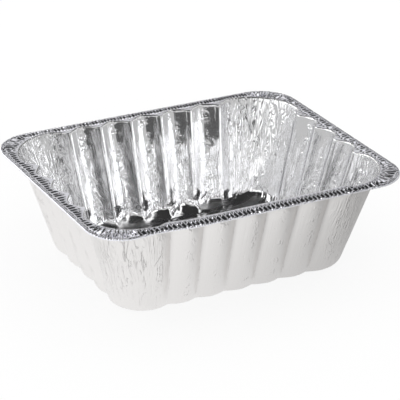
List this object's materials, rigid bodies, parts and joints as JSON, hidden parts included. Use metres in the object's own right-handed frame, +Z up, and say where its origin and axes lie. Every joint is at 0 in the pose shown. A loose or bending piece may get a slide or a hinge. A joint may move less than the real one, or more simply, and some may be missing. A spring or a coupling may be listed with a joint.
{
  "type": "aluminium foil tray",
  "caption": "Deep rectangular foil tray: flat floor, fluted tapering walls, pleated rounded corners, flat crimped flange and rolled edge, for holding, cooking and carrying food.",
  "frame": {"origin": "middle of the floor's underside, which is the plane the tray stands on", "axes": "+X along the tray's length, +Y along its width, +Z up out of its mouth"},
  "size_m": [0.324, 0.264, 0.102],
  "materials": {
    "foil": "bright drawn foil, shiny inside, satin outside, crimped and pleated"
  },
  "bodies": {
    "root": {"foil_tray": "foil"}
  },
  "joints": []
}
